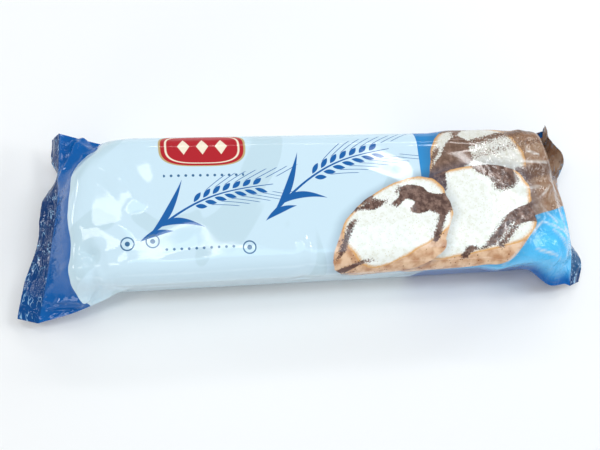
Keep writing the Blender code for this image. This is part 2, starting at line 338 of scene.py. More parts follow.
# Studio light, each lamp placed where the film mirrors it: the strip along the near side of the panel with
# the tube at its far edge, the ribbon across the panel's far side, the window, the lantern, the left and
# the low lamp in the left end's facets, the ceiling, the lamp and the two at the right in the right end's,
# and the front and the far lamp in the two shoulders.
WORLD_COLOUR = (0.96, 0.98, 1.0, 1.0)
WORLD_STRENGTH = 0.32
SKY = (0.50, 0.78, 1.0)
WARM = (1.0, 0.97, 0.90)
LEFT_END = (-0.14, 0.0, 0.05)
RIGHT_END = (0.14, 0.0, 0.05)
SOFTBOXES = (
    dict(
        name="strip", place=(0.30, 0.08, 1.25), aim=(0.30, 0.08, 0.0), size=(1.10, 0.15), power=2.3,
        colour=SKY,
    ),
    dict(name="tube", place=(-0.08, 0.140, 1.10), aim=(-0.08, 0.14, 0.0), size=(0.36, 0.018), power=0.30),
    dict(name="ribbon", place=(0.57, 0.425, 1.10), size=(0.42, 0.045), power=1.40),
    dict(name="ceiling", place=(0.78, 0.12, 1.15), aim=RIGHT_END, size=(0.30, 0.30), power=0.9),
    dict(name="lamp", place=(0.70, 0.10, 1.10), aim=RIGHT_END, size=(0.08, 0.14), power=0.7),
    dict(name="right", place=(1.05, 0.02, 0.70), aim=RIGHT_END, size=(0.45, 0.30), power=3.2),
    dict(name="far right", place=(1.03, 0.63, 0.57), aim=RIGHT_END, size=(0.28, 0.28), power=1.9),
    dict(name="front", place=(0.25, -1.25, 0.42), size=(1.4, 0.12), power=2.2),
    dict(name="window", place=(-0.55, -0.03, 1.10), aim=LEFT_END, size=(0.20, 0.42), power=2.4, colour=WARM),
    dict(name="lantern", place=(-0.27, 0.31, 1.10), aim=LEFT_END, size=(0.26, 0.16), power=1.1),
    dict(name="left", place=(-1.15, 0.30, 0.40), aim=LEFT_END, size=(0.40, 0.16), power=2.6),
    dict(name="low", place=(-0.75, -1.00, 0.25), aim=LEFT_END, size=(0.50, 0.30), power=2.5),
    dict(name="far", place=(0.22, 0.90, 0.82), size=(0.70, 0.035), power=1.7),
)


def mix(a, b, share):
    return a + (b - a) * share


def clamp(value, low=0.0, high=1.0):
    return min(max(value, low), high)


def smooth(value):
    """0 below 0, 1 above 1, and a smooth step between."""
    value = clamp(value)
    return value * value * (3 - 2 * value)


def through(keys, place):
    """The smooth curve through (place, value) keys, level beyond the first and the last."""
    if place <= keys[0][0]:
        return keys[0][1]
    if place >= keys[-1][0]:
        return keys[-1][1]
    after = next(i for i, key in enumerate(keys) if key[0] > place)
    before = after - 1
    width = keys[after][0] - keys[before][0]
    t = (place - keys[before][0]) / width

    def slope(i):
        low, high = keys[max(i - 1, 0)], keys[min(i + 1, len(keys) - 1)]
        return (high[1] - low[1]) / (high[0] - low[0])

    bend_in = width * slope(before) * t * (1 - t) ** 2
    bend_out = width * slope(after) * t * t * (1 - t)
    return mix(keys[before][1], keys[after][1], smooth(t)) + bend_in - bend_out


def hinge(value, softness):
    """Near 0 below 0, and nearly straight up to 1 at 1, as film runs on straight over an edge."""
    def ramp(t):
        return (math.sqrt(t * t + softness * softness) + t) / 2

    return ramp(value) / ramp(1.0)


def fillet(before, corner, after, radius, steps):
    """Points of the arc that rounds a corner, from the edge that arrives to the edge that leaves."""
    arriving = (corner - before).normalized()
    leaving = (after - corner).normalized()
    turn = arriving.angle(leaving)
    start = corner - arriving * radius * math.tan(turn / 2)
    inward = (leaving - arriving).normalized()
    centre = corner + inward * radius / math.cos(turn / 2)
    side = 1 if arriving.cross(leaving) > 0 else -1
    points = []
    for i in range(steps + 1):
        arm = (start - centre).copy()
        arm.rotate(Matrix.Rotation(side * turn * i / steps, 2))
        points.append(centre + arm)
    return points


def between(start, end, steps):
    """The points strictly between two points, evenly spaced."""
    return [start.lerp(end, i / steps) for i in range(1, steps)]


def seam_lift(y):
    """How far the underside stands off the ground over and beside the back seam's flap."""
    beyond = abs(y) - SEAM_WIDTH / 2
    return SEAM_STEP * (1 - smooth(beyond / (SEAM_LIFT_WIDTH / 2)))


def bumps(kind, a, b):
    """Random bumps between -1 and 1 of a kind in BUMPS, at a place in the film."""
    size_a, size_b, depth = BUMPS[kind]
    return noise.noise(Vector((a / size_a, b / size_b, depth)))


def body_sheets():
    """The body's section as two lists of (y, z) from the near ear to the far ear: its top and its base."""
    half_top = SHOULDER_WIDTH / 2
    half_base = BASE_WIDTH / 2
    ear = Vector((-mix(half_base, half_top, EAR_HEIGHT / BODY_HEIGHT), EAR_HEIGHT))
    shoulder = Vector((-half_top, BODY_HEIGHT))
    foot = Vector((-half_base, 0.0))
    sheets = []
    for corner, radius in ((shoulder, SHOULDER_RADIUS), (foot, BASE_RADIUS)):
        arc = fillet(ear, corner, Vector((0.0, corner.y)), radius, CORNER_STEPS)
        near = [ear] + between(ear, arc[0], WALL_STEPS) + arc
        far = [Vector((-p.x, p.y)) for p in reversed(near)]
        sheets.append(near + between(near[-1], far[0], PANEL_STEPS) + far)
    top, base = sheets
    crown = [CROWN * (1 - (p.x / half_top) ** 2) if p.y > EAR_HEIGHT else 0.0 for p in top]
    top = [p + Vector((0.0, rise)) for p, rise in zip(top, crown)]
    base = [Vector((p.x, seam_lift(p.x) if p.y < ON_GROUND else p.y)) for p in base]
    return top, base


def seal_crinkle(y, out):
    """How far the pressed film of a seal stands off its smooth middle."""
    wobble = CRIMP_WOBBLE * bumps("crimp wobble", y, out)
    inside = smooth((out - CRIMP_FROM) / CRIMP_FADE_IN) * smooth((CRIMP_TO - out) / CRIMP_FADE_OUT)
    patchy = CRIMP_SHARE + CRIMP_PATCHES * bumps("crimp patches", y, out)
    crimp = CRIMP_DEPTH * patchy * inside * math.sin(math.tau * (out + wobble) / CRIMP_STEP)
    outer = smooth((out - CRINKLE_FROM) / CRIMP_TO)
    return crimp + CRINKLE * outer * (abs(bumps("crinkle", y, out)) - CRINKLE_LEVEL)


def seal_point(end, share, out, face):
    """A point of the end seal: share is across it, out from its root in metres, face 1 on its upper side."""
    cut = end.seal_cut * out / SEAL_DEPTH
    y = share * (end.seal_far if share > 0 else end.seal_near - cut)
    lean = math.radians(through(end.leans, share))
    outwards = Vector((math.cos(lean), -math.sin(lean)))
    upwards = Vector((math.sin(lean), math.cos(lean)))
    wave = SEAL_WAVE * math.sin(math.tau * y / SEAL_WAVE_LENGTH) * smooth(out / SEAL_DEPTH)
    layer = face * SEAL_THICKNESS / 2 * (1 - abs(share) ** SEAL_EDGE_POWER)
    place = Vector((through(end.roots, share), through(end.levels, share)))
    place += outwards * out + upwards * (layer + wave + seal_crinkle(y + end.side, out))
    return Vector((end.side * place.x, y, place.y))


def film_point(end, section, share, along, step_out, face):
    """A point of the film between the body and one end's seal.

    along is the distance from where the rows start to spread, up to FLARE_LENGTH at the cake's end, and
    step_out the share of the slope from there down to the seal's root.
    """
    y, z = section
    leave = through(end.cake_end, y)
    root = seal_point(end, share, 0.0, face)
    reach = abs(root.x)
    x = BODY_HALF + along * (leave - BODY_HALF) / FLARE_LENGTH
    x = mix(x, reach, step_out)
    above = abs(z - EAR_HEIGHT) / (BODY_HEIGHT / 2)
    hug = smooth((above - EAR_BAND[0]) / (EAR_BAND[1] - EAR_BAND[0]))
    ear = end.ear_far if y > 0 else end.ear_near
    leaves_at = mix(ear, leave - END_EDGE_LEAD, hug)
    softness = mix(EAR_SOFTNESS, END_EDGE_RADIUS / max(reach - leave, END_EDGE_RADIUS), hug)
    share_down = hinge((x - leaves_at) / (reach - leaves_at), softness) * smooth(along / FLARE_EASE)
    bag = through(end.pouch, x) * (1 - hug) if y < 0 else 0.0
    return Vector((end.side * x, mix(y, root.y, share_down) - bag, mix(z, root.z, share_down)))


@dataclass
class Row:
    """Where one row of the film's points lies along the pack: on the body, on a slope or on a seal."""

    end: End = None
    x: float = 0.0
    along: float = 0.0
    step_out: float = 0.0
    out: float = None


@dataclass
class Column:
    """Where one column of the film's points runs: which sheet, its section point, and how far across."""

    face: int
    section: Vector
    share: float
    across: float


def film_rows():
    """The rows from the left seal's outer edge to the right seal's."""
    rows = {}
    for end in (LEFT, RIGHT):
        flare = [Row(end=end, along=FLARE_LENGTH * i / FLARE_ROWS) for i in range(1, FLARE_ROWS + 1)]
        slope = [Row(end=end, along=FLARE_LENGTH, step_out=i / SLOPE_ROWS) for i in range(1, SLOPE_ROWS)]
        seal = [Row(end=end, out=SEAL_DEPTH * i / SEAL_ROWS) for i in range(SEAL_ROWS + 1)]
        rows[end.side] = flare + slope + seal
    body = [Row(x=mix(-BODY_HALF, BODY_HALF, i / BODY_ROWS)) for i in range(BODY_ROWS + 1)]
    return rows[-1][::-1] + body + rows[1]


def sheet_columns(sheet, face):
    run = [0.0]
    for a, b in zip(sheet, sheet[1:]):
        run.append(run[-1] + (b - a).length)
    half = run[-1] / 2
    return [Column(face, p, (r - half) / half, r - half) for p, r in zip(sheet, run)]


def film_columns():
    """The columns round the film, from the back seam's middle over the near side and back to the seam."""
    top, base = body_sheets()
    top = sheet_columns(top, 1)
    base = sheet_columns(base, -1)
    middle = len(base) // 2
    edge = top[-1].across
    half_base = base[-1].across
    for column in base:
        beyond = edge + half_base - abs(column.across)
        column.across = beyond if column.across > 0 else -beyond
    near = base[middle:0:-1]
    far = base[-2:middle - 1:-1]
    seam = near[0]
    near[0] = Column(-1, seam.section, seam.share, -(edge + half_base))
    far[-1] = Column(-1, seam.section, seam.share, edge + half_base)
    return near + top + far


def film_place(row, column):
    """Where a point of the film lies before it is creased."""
    if row.end is None:
        return Vector((row.x, column.section.x, column.section.y))
    if row.out is not None:
        return seal_point(row.end, column.share, row.out, column.face)
    return film_point(row.end, column.section, column.share, row.along, row.step_out, column.face)


def fold_distance(fold, place):
    """How far a place seen from above is from a fold's line."""
    start, end = Vector(fold.start), Vector(fold.end)
    run = end - start
    share = clamp((place - start).dot(run) / run.length_squared)
    return (place - start - run * share).length


def fold_height(place):
    """The film's height at a place seen from above, from every fold near it."""
    height = 0.0
    for fold in FOLDS:
        distance = fold_distance(fold, place)
        if distance < fold.width:
            fade = 1 - math.hypot(distance, FOLD_EDGE) / math.hypot(fold.width, FOLD_EDGE)
            height += fold.height * fade ** FOLD_CURVE
    return height


def swell_height(place):
    """The slow rise and fall of the front panel over the cake's uneven top."""
    along, across = place
    strength = max(0.0, 1 - (across / SWELL_HALF_WIDTH) ** 2) * smooth((along + FLAT_UP_TO) / FLAT_SPREAD)
    wave = math.sin(along / SWELL_ALONG) * math.cos(across / SWELL_ACROSS + along / SWELL_SLANT)
    return SWELL * strength * (wave - SWELL_LEVEL)


def crumple_height(along, across, strength):
    """Sharp-edged facets, longer along the pack than across it."""
    height = 0.0
    for size, rise in zip(CRUMPLE_SIZES, CRUMPLE_HEIGHTS):
        bend = CRUMPLE_BEND * noise.noise(Vector((along / size, across / size, CRUMPLE_DEPTH)))
        distances, _ = noise.voronoi(Vector((along * CRUMPLE_STRETCH / size, across / size, bend)))
        height += rise * (CRUMPLE_LEVEL - distances[0])
    return height * strength


def pleat_height(row, y):
    """Pleats beside a seal, highest a little way up the slope."""
    if row.end is None or row.out is not None or row.step_out == 0:
        return 0.0
    distance = (1 - row.step_out) * SLOPE_REACH
    phase = y / PLEAT_STEP + PLEAT_DRIFT * bumps("pleat drift", y, row.end.side)
    ridge = 1 - 2 * abs(phase - math.floor(phase) - 0.5)
    fade = math.exp(-distance / PLEAT_REACH) * smooth(distance / PLEAT_START)
    return PLEAT_HEIGHT * (ridge ** 2 - PLEAT_LEVEL) * fade


def crease(row, column, place):
    """How far a point of the film stands off its smooth shape."""
    x = place.x
    to_left = smooth((-x - LEFT_CRUMPLE_FROM) / CRUMPLE_SPREAD)
    to_right = smooth((x - RIGHT_CRUMPLE_FROM) / CRUMPLE_SPREAD)
    strength = BODY_CRUMPLE + to_left * LEFT_CRUMPLE + to_right
    height = crumple_height(x, column.across, strength) + pleat_height(row, place.y)
    height += RIPPLE_HEIGHT * bumps("ripple", x, column.across)
    if column.face > 0:
        seen = Vector((place.x, place.y))
        height += fold_height(seen) + swell_height(Vector((place.x, column.across)))
    else:
        on_ground = column.section.y < GROUND_BAND and row.end is None
        height *= 0.0 if on_ground else UNDER_CREASE
    return height * crease_room(row, column)


def crease_room(row, column):
    """Creases fade out where the film is pressed against film: at the seals' roots and at the ears."""
    if row.out is not None:
        return 0.0
    at_root = smooth((1 - row.step_out) / ROOT_ROOM)
    at_ear = smooth((1 - abs(column.share)) / EAR_ROOM)
    return at_root * at_ear


def paint(code):
    """The linear colour of a six-digit screen colour."""
    channels = [int(code[i:i + 2], 16) / 255 for i in (0, 2, 4)]
    linear = [c / 12.92 if c <= 0.04045 else ((c + 0.055) / 1.055) ** 2.4 for c in channels]
    return (*linear, 1.0)


class Wire:
    """A node's output that can be used in sums, each of which adds a Math node."""

    def __init__(self, graph, socket):
        self.graph = graph
        self.socket = socket

    def __add__(self, other):
        return self.graph.math("ADD", self, other)

    def __radd__(self, other):
        return self.graph.math("ADD", other, self)

    def __sub__(self, other):
        return self.graph.math("SUBTRACT", self, other)

    def __rsub__(self, other):
        return self.graph.math("SUBTRACT", other, self)

    def __mul__(self, other):
        return self.graph.math("MULTIPLY", self, other)

    def __truediv__(self, other):
        return self.graph.math("DIVIDE", self, other)

    def __rtruediv__(self, other):
        return self.graph.math("DIVIDE", other, self)

    def __pow__(self, other):
        return self.graph.math("POWER", self, other)

    def __abs__(self):
        return self.graph.math("ABSOLUTE", self)


class Graph:
    """Adds nodes to one tree. Values are constants or wires, and results are wires."""

    def __init__(self, tree):
        self.tree = tree

    def feed(self, socket, value):
        if isinstance(value, Wire):
            self.tree.links.new(value.socket, socket)
        else:
            socket.default_value = value

    def node(self, kind, inputs, **settings):
        """Adds a node with settings, feeds the inputs named by their socket or number, and returns it."""
        node = self.tree.nodes.new(kind)
        for name, value in settings.items():
            setattr(node, name, value)
        for name, value in inputs.items():
            self.feed(node.inputs[name], value)
        return node

    def math(self, operation, *values):
        node = self.node("ShaderNodeMath", dict(enumerate(values)), operation=operation)
        return Wire(self, node.outputs[0])

    def vector(self, operation, *values):
        node = self.node("ShaderNodeVectorMath", dict(enumerate(values)), operation=operation)
        return Wire(self, node.outputs["Value" if operation == "DOT_PRODUCT" else "Vector"])

    def scaled(self, vector, factor):
        node = self.node("ShaderNodeVectorMath", {"Vector": vector, "Scale": factor}, operation="SCALE")
        return Wire(self, node.outputs["Vector"])

    def turned(self, vector, angle):
        """A vector turned about Z by so many radians."""
        inputs = {"Vector": vector, "Angle": angle}
        node = self.node("ShaderNodeVectorRotate", inputs, rotation_type="Z_AXIS")
        return Wire(self, node.outputs["Vector"])

    def split(self, vector):
        """The X and Y of a vector."""
        node = self.node("ShaderNodeSeparateXYZ", {0: vector})
        return Wire(self, node.outputs[0]), Wire(self, node.outputs[1])

    def join(self, x, y, z=0.0):
        node = self.node("ShaderNodeCombineXYZ", {0: x, 1: y, 2: z})
        return Wire(self, node.outputs[0])

    def rise(self, value, start, end):
        """0 where a value is at start and 1 where it is at end, with a smooth step between."""
        inputs = {"Value": value, "From Min": start, "From Max": end}
        node = self.node("ShaderNodeMapRange", inputs, interpolation_type="SMOOTHSTEP")
        return Wire(self, node.outputs["Result"])

    def inside(self, value, limit, edge):
        """1 where a value is below a limit, and 0 beyond it."""
        return self.rise(value, limit + edge / 2, limit - edge / 2)

    def cell(self, value, pitch):
        """The distance from the middle of the cell that a value lies in, in a row of such a pitch."""
        return (self.math("FRACT", value / pitch) - 0.5) * pitch

    def noise(self, place, scale, detail=2.0, roughness=0.5, distortion=0.0):
        inputs = {
            "Vector": place, "Scale": scale, "Detail": detail, "Roughness": roughness,
            "Distortion": distortion,
        }
        return Wire(self, self.node("ShaderNodeTexNoise", inputs).outputs["Fac"])

    def specks(self, place, scale):
        """The distance to the nearest of scattered points, as a share of their spacing."""
        node = self.node("ShaderNodeTexVoronoi", {"Vector": place, "Scale": scale})
        return Wire(self, node.outputs["Distance"])

    def blend(self, under, over, share):
        """The colour under, covered by the colour over to so large a share."""
        node = self.node("ShaderNodeMix", {0: share, 6: under, 7: over}, data_type="RGBA")
        return Wire(self, node.outputs[2])

    def tones(self, pair, value, span):
        """The colour between a pair of tones where a value is between the two ends of a span."""
        return self.blend(paint(pair[0]), paint(pair[1]), self.rise(value, *span))

    def use(self, group, inputs):
        """Adds a node group and returns its outputs by name."""
        node = self.tree.nodes.new("ShaderNodeGroup")
        node.node_tree = group
        for name, value in inputs.items():
            self.feed(node.inputs[name], value)
        return {output.name: Wire(self, output) for output in node.outputs}


SOCKETS = {"value": "NodeSocketFloat", "vector": "NodeSocketVector", "colour": "NodeSocketColor"}


def start_group(name, inputs, outputs):
    """A new node group, its graph, its input wires by name, and the sockets that its results go to."""
    tree = bpy.data.node_groups.new(name, "ShaderNodeTree")
    for title, kind in inputs.items():
        tree.interface.new_socket(title, in_out="INPUT", socket_type=SOCKETS[kind])
    for title, kind in outputs.items():
        tree.interface.new_socket(title, in_out="OUTPUT", socket_type=SOCKETS[kind])
    graph = Graph(tree)
    source = tree.nodes.new("NodeGroupInput")
    target = tree.nodes.new("NodeGroupOutput")
    return tree, graph, {title: Wire(graph, source.outputs[title]) for title in inputs}, target.inputs


# A slice's outline is squarer at its base than at its domed top.
SLICE_BASE_POWER = 5.0
SLICE_TOP_POWER = 2.3
SLICE_DOME = (-0.2, 0.3)
SLICE_TAPER = 0.08
SLICE_EDGE = 0.02
SLICE_UNEVEN = 0.10
SLICE_UNEVEN_SCALE = 2.6

# The cake's tones in print, dark one first where there are two.
CRUMB = ("E4E6DB", "F1F4EF")
PORE = "DFDDCE"
GOLDEN = "D9A25F"
COCOA = ("55403A", "8F7468")
CRUST = ("BD8C68", "E6C3A2")
CRUST_SPECK = "7C4A2A"
COCOA_CRUST = ("46302B", "7A5A50")
SHADED_CRUST = "5B4238"
SHADED_CAKE = "94765C"
SHADOW = "34506E"

# Where each tone lies, as ends of a span of noise, of the distance from a speck's middle or of the radius.
CRUMB_SPAN = (0.34, 0.56)
COCOA_SPAN = (0.36, 0.70)
BAKED_SPAN = (0.32, 0.64)
PORE_SPAN = (0.10, 0.30)
SPECK_SPAN = (0.20, 0.08)
GOLDEN_SPAN = (0.90, 1.0)
SHADOW_SPAN = (1.25, 0.96)

# How strong the shadow is, and how much more of a slice's shade its crust takes than its cut face.
SHADOW_STRENGTH = 0.35
CRUST_SHADE = 2.6

# How fine each noise is: the ragged edges, the crumb's grain, its pores, the baked crust and its specks.
RAGGED_SCALE = 900.0
CRUMB_SCALE = 260.0
PORE_SCALE = 520.0
BAKED_SCALE = 150.0
SPECK_SCALE = 330.0

# How ragged the golden rim of the cut face is, as a share of the radius.
GOLDEN_RAGGED = 0.06

# The swirls of dark batter, more of them higher up and further out.
SWIRL_SCALE = 0.95
SWIRL_BEND = 0.7
SWIRL_SPREAD = 3.7
SWIRL_RAGGED = 0.08
SWIRL_LEAN = 0.07
SWIRL_SPAN = (0.595, 0.620)


def slice_radius(g, place, seed):
    """How far out a place is from a slice's middle, 1 being the slice's outline."""
    x, y = g.split(place)
    power = g.rise(y, *SLICE_DOME) * (SLICE_TOP_POWER - SLICE_BASE_POWER) + SLICE_BASE_POWER
    width = abs(x) / (1 + y * SLICE_TAPER)
    radius = (width ** power + abs(y) ** power) ** (1 / power)
    rough = g.noise(g.vector("ADD", place, g.join(seed, 0.0)), SLICE_UNEVEN_SCALE, detail=3.0) - 0.5
    return radius + rough * SLICE_UNEVEN


def cake_slice_group():
    """Prints a slice of marble cake: its cut face, the crust of its edge, and a soft shadow.

    Side is the way from the cut face to the other one, as a share of the slice's half size.
    """
    inputs = {
        "Behind": "colour", "Place": "vector", "Centre": "vector", "Half Size": "vector",
        "Turn": "value", "Side": "vector", "Seed": "value", "Shade": "value",
    }
    tree, g, given, results = start_group("cake_slice", inputs, {"Colour": "colour"})
    centred = g.vector("SUBTRACT", given["Place"], given["Centre"])
    place = g.vector("DIVIDE", g.turned(centred, given["Turn"] * -1), given["Half Size"])
    seed = given["Seed"]
    side = given["Side"]

    back = g.vector("DOT_PRODUCT", place, side) / g.vector("DOT_PRODUCT", side, side)
    back = g.math("MINIMUM", g.math("MAXIMUM", back, 0.0), 1.0)
    rim_place = g.vector("SUBTRACT", place, g.scaled(side, back))
    face_radius = slice_radius(g, place, seed)
    body_radius = slice_radius(g, rim_place, seed)
    face = g.inside(face_radius, 1.0, SLICE_EDGE)
    body = g.inside(body_radius, 1.0, SLICE_EDGE)

    # dark batter runs through the crumb in ragged swirls, and out to the crust
    seeded = g.vector("ADD", rim_place, g.join(seed * SWIRL_SPREAD, seed))
    ragged = g.noise(centred, RAGGED_SCALE) - 0.5
    swirl = g.noise(seeded, SWIRL_SCALE, detail=2.0, distortion=SWIRL_BEND)
    _, height = g.split(rim_place)
    dark = g.rise(swirl + ragged * SWIRL_RAGGED + (height + body_radius) * SWIRL_LEAN, *SWIRL_SPAN)

    pores = g.rise(g.specks(centred, PORE_SCALE), *PORE_SPAN)
    grain = g.noise(centred, CRUMB_SCALE, detail=3.0, roughness=0.7)
    crumb = g.blend(paint(PORE), g.tones(CRUMB, grain, CRUMB_SPAN), pores)
    golden = g.rise(face_radius + ragged * GOLDEN_RAGGED, *GOLDEN_SPAN)
    crumb = g.blend(crumb, paint(GOLDEN), golden)
    cut = g.blend(crumb, g.tones(COCOA, grain, COCOA_SPAN), dark)

    baked = g.tones(CRUST, g.noise(centred, BAKED_SCALE, detail=3.0), BAKED_SPAN)
    baked = g.blend(baked, paint(CRUST_SPECK), g.rise(g.specks(centred, SPECK_SCALE), *SPECK_SPAN))
    crust = g.blend(baked, g.blend(paint(COCOA_CRUST[0]), paint(COCOA_CRUST[1]), grain), dark)
    crust = g.blend(crust, paint(SHADED_CRUST), given["Shade"] * CRUST_SHADE)

    shadow = g.rise(body_radius, *SHADOW_SPAN) * SHADOW_STRENGTH
    shaded = g.blend(given["Behind"], paint(SHADOW), shadow)
    slice_colour = g.blend(g.blend(crust, cut, face), paint(SHADED_CAKE), given["Shade"])
    g.feed(results["Colour"], g.blend(shaded, slice_colour, body))
    return tree


# A sprig of grain, in shares of its length.
GRAIN_PITCH = 0.074
GRAIN_LENGTH = 0.043
GRAIN_WIDTH = 0.0165
GRAIN_LEAN = math.radians(30)
GRAIN_OFFSET = 0.036
HEAD_START = 0.40
HEAD_END = HEAD_START + 7 * GRAIN_PITCH
STEM_MIDDLE = 0.49
STEM_WIDTH = 0.0075
STEM_TAPER_END = 1.3
AWN_WIDTH = 0.0045
AWN_SLOPE = 2.6
AWN_BESIDE = (0.090, 0.034)
AWN_ALONG = (0.62, 0.32)
LEAF_WIDTH = 0.085

# Each leaf's start on the stem, its length, how far it bends away, and its side of the stem.
LEAVES = ((0.03, 0.36, 0.55, 1), (0.10, 0.30, 0.60, -1), (-0.05, 0.24, 0.35, -1))

# How soft the edges of the sprig's forms are.
STEM_SOFT = 0.002
GRAIN_SOFT = 0.003
LEAF_SOFT = 0.004
AWN_SOFT = 0.006
ENDS_SOFT = 0.01


def leaf_mask(g, along, across, start, length, slope):
    """A slim leaf that leaves the stem at start and curves away from it."""
    share = (along - start) / length
    middle = share * share * slope * length
    half = g.math("SINE", share * math.pi) * length * LEAF_WIDTH
    inside_ends = g.inside(abs(share - 0.5), 0.5, ENDS_SOFT)
    return g.inside(abs(across - middle) - half, 0.0, LEAF_SOFT) * inside_ends


def grain_sprig_group():
    """Prints a bent stalk of grain with two rows of grains, fine awns and its leaves, as a mask."""
    inputs = {"Place": "vector", "Foot": "vector", "Length": "value", "Turn": "value", "Bend": "value"}
    tree, g, given, results = start_group("grain_sprig", inputs, {"Mask": "value"})
    local = g.turned(g.vector("SUBTRACT", given["Place"], given["Foot"]), given["Turn"] * -1)
    along, across = g.split(g.scaled(local, 1 / given["Length"]))
    across = across - g.math("SINE", along * math.pi) * given["Bend"]
    beside = abs(across)

    on_stem = g.inside(abs(along - STEM_MIDDLE), STEM_MIDDLE, ENDS_SOFT)
    stem = g.inside(beside - (STEM_TAPER_END - along) * STEM_WIDTH, 0.0, STEM_SOFT) * on_stem
    step = g.cell(along - HEAD_START, GRAIN_PITCH)
    off = beside - GRAIN_OFFSET
    grain_along = step * math.cos(GRAIN_LEAN) + off * math.sin(GRAIN_LEAN)
    grain_across = off * math.cos(GRAIN_LEAN) - step * math.sin(GRAIN_LEAN)
    bulge = (1 - (grain_along / GRAIN_LENGTH) ** 2.0) * GRAIN_WIDTH
    in_head = g.inside(abs(along - (HEAD_START + HEAD_END) / 2), (HEAD_END - HEAD_START) / 2, LEAF_SOFT)
    grains = g.inside(abs(grain_across) - bulge, 0.0, GRAIN_SOFT) * in_head

    skewed = along - beside * AWN_SLOPE
    line = g.inside(abs(g.cell(skewed - HEAD_START, GRAIN_PITCH)), AWN_WIDTH / 2 * AWN_SLOPE, GRAIN_SOFT)
    awn_reach = g.inside(abs(beside - AWN_BESIDE[0]), AWN_BESIDE[1], AWN_SOFT)
    awns = line * awn_reach * g.inside(abs(skewed - AWN_ALONG[0]), AWN_ALONG[1], LEAF_SOFT)

    mask = g.math("MAXIMUM", stem, g.math("MAXIMUM", grains, awns))
    for start, length, slope, side in LEAVES:
        leaf = leaf_mask(g, along, across * side, start, length, slope)
        mask = g.math("MAXIMUM", mask, leaf)
    g.feed(results["Mask"], mask)
    return tree


# The print, in metres on the flat film: the pale panel's ends, and what lies on it.
PANEL_START = -0.150
PANEL_END = 0.061
PANEL_SOFT = 0.0003
PALE = "CBE2EE"
BLUE = "0C5CA6"
INK = "1C5FA3"

# Large, soft-bent shapes of a deeper tone in the pale panel.
PALE_DEEP = "BDD5DF"
SHAPE_STRETCH = (1.0, 0.6, 1.0)
SHAPE_SCALE = 13.0
SHAPE_BEND = 2.2
SHAPE_SPAN = (0.53, 0.56)
SHAPE_STRENGTH = 0.7

# On the front the blue grows brighter towards the right end and the near side, partly a printed gradient and
# partly painted light where the film faces the lamps at the right. It fades out beyond the shoulders, so the
# walls keep the darker blue as painted shade.
PRINTED_AND_LIT_BLUE = "55C3FA"
BRIGHT_SPAN = (-0.04, 0.17)
BRIGHT_SLANT = 0.8
BRIGHT_HALF = 0.056
BRIGHT_FADE = 0.014

# Painted shade: the seals' blue is darkened where their film leans away from the light, least at the left
# seal's near end. Pale lines are painted along their sharpest crinkles as glints.
SEAL_SHADE_BLUE = "042C5E"
SEAL_SHADE = 0.88
SEAL_NEAR_SHADE = 0.50
SEAL_SHADE_ACROSS = (-0.062, -0.015)
SEAL_SHADE_ALONG = (-0.1, 0.1)
SEAL_GLINT_BLUE = "8DB6D8"

# The pale of the highlight painted along a crease's crest.
CREST_HIGHLIGHT = "E9E6E2"
CREST_HIGHLIGHT_SHARE = 0.75

SPRIGS = (
    dict(foot=(-0.106, -0.019), length=0.082, turn=math.radians(21), bend=0.09),
    dict(foot=(-0.034, -0.009), length=0.088, turn=math.radians(27), bend=0.10),
)
SLICES = (
    dict(centre=(0.098, 0.014), half=(0.031, 0.034), turn=-16, side=(2.40, 1.25), seed=6.1, shade=0.24),
    dict(centre=(0.090, -0.010), half=(0.042, 0.027), turn=10, side=(-0.36, -0.42), seed=5.3, shade=0.0),
    dict(centre=(0.043, -0.015), half=(0.036, 0.021), turn=27, side=(-0.36, -0.50), seed=9.1, shade=0.0),
)


def print_sprigs(g, colour, place, sprig):
    """The sprigs in ink over a colour, each by the node group that draws one."""
    for design in SPRIGS:
        inputs = {
            "Place": place, "Foot": (*design["foot"], 0.0), "Length": design["length"],
            "Turn": design["turn"], "Bend": design["bend"],
        }
        colour = g.blend(colour, paint(INK), g.use(sprig, inputs)["Mask"])
    return colour


def print_slices(g, colour, place, cake):
    """The slices over a colour, the rear one first, each by the node group that draws one."""
    for design in SLICES:
        inputs = {
            "Behind": colour, "Place": place, "Centre": (*design["centre"], 0.0),
            "Half Size": (*design["half"], 1.0), "Turn": math.radians(design["turn"]),
            "Side": (*design["side"], 0.0), "Seed": design["seed"], "Shade": design["shade"],
        }
        colour = g.use(cake, inputs)["Colour"]
    return colour


BADGE_CENTRE = (-0.0715, 0.0345)
BADGE_HALF = (0.0255, 0.0125)
BADGE_POWER = 3.2
BADGE_RED = "B3262F"
BADGE_GOLD = "BFA878"
BADGE_CREAM = "F2E6CF"
BADGE_SOFT = 0.02
GOLD_FROM = 0.955
CREAM_LINE = (0.84, 0.022)
DIAMOND_PITCH = 0.011
DIAMOND_HALF = (0.0036, 0.0052)
DIAMOND_ROW = 0.62
DIAMOND_SOFT = 0.08
ROW_SOFT = 0.01


def print_badge(g, colour, x, y):
    """A red oval with a gold edge, a cream line and three cream diamonds."""
    across = abs(x - BADGE_CENTRE[0]) / BADGE_HALF[0]
    up = abs(y - BADGE_CENTRE[1]) / BADGE_HALF[1]
    radius = (across ** BADGE_POWER + up ** BADGE_POWER) ** (1 / BADGE_POWER)
    on_line = g.inside(abs(radius - CREAM_LINE[0]), CREAM_LINE[1], BADGE_SOFT)
    colour = g.blend(colour, paint(BADGE_GOLD), g.inside(radius, 1.0, BADGE_SOFT))
    colour = g.blend(colour, paint(BADGE_RED), g.inside(radius, GOLD_FROM, BADGE_SOFT))
    colour = g.blend(colour, paint(BADGE_CREAM), on_line)
    beside = abs(g.cell(x - BADGE_CENTRE[0] + DIAMOND_PITCH / 2, DIAMOND_PITCH))
    diamond = beside / DIAMOND_HALF[0] + up * BADGE_HALF[1] / DIAMOND_HALF[1]
    in_row = g.inside(across, DIAMOND_ROW, ROW_SOFT)
    return g.blend(colour, paint(BADGE_CREAM), g.inside(diamond, 1.0, DIAMOND_SOFT) * in_row)


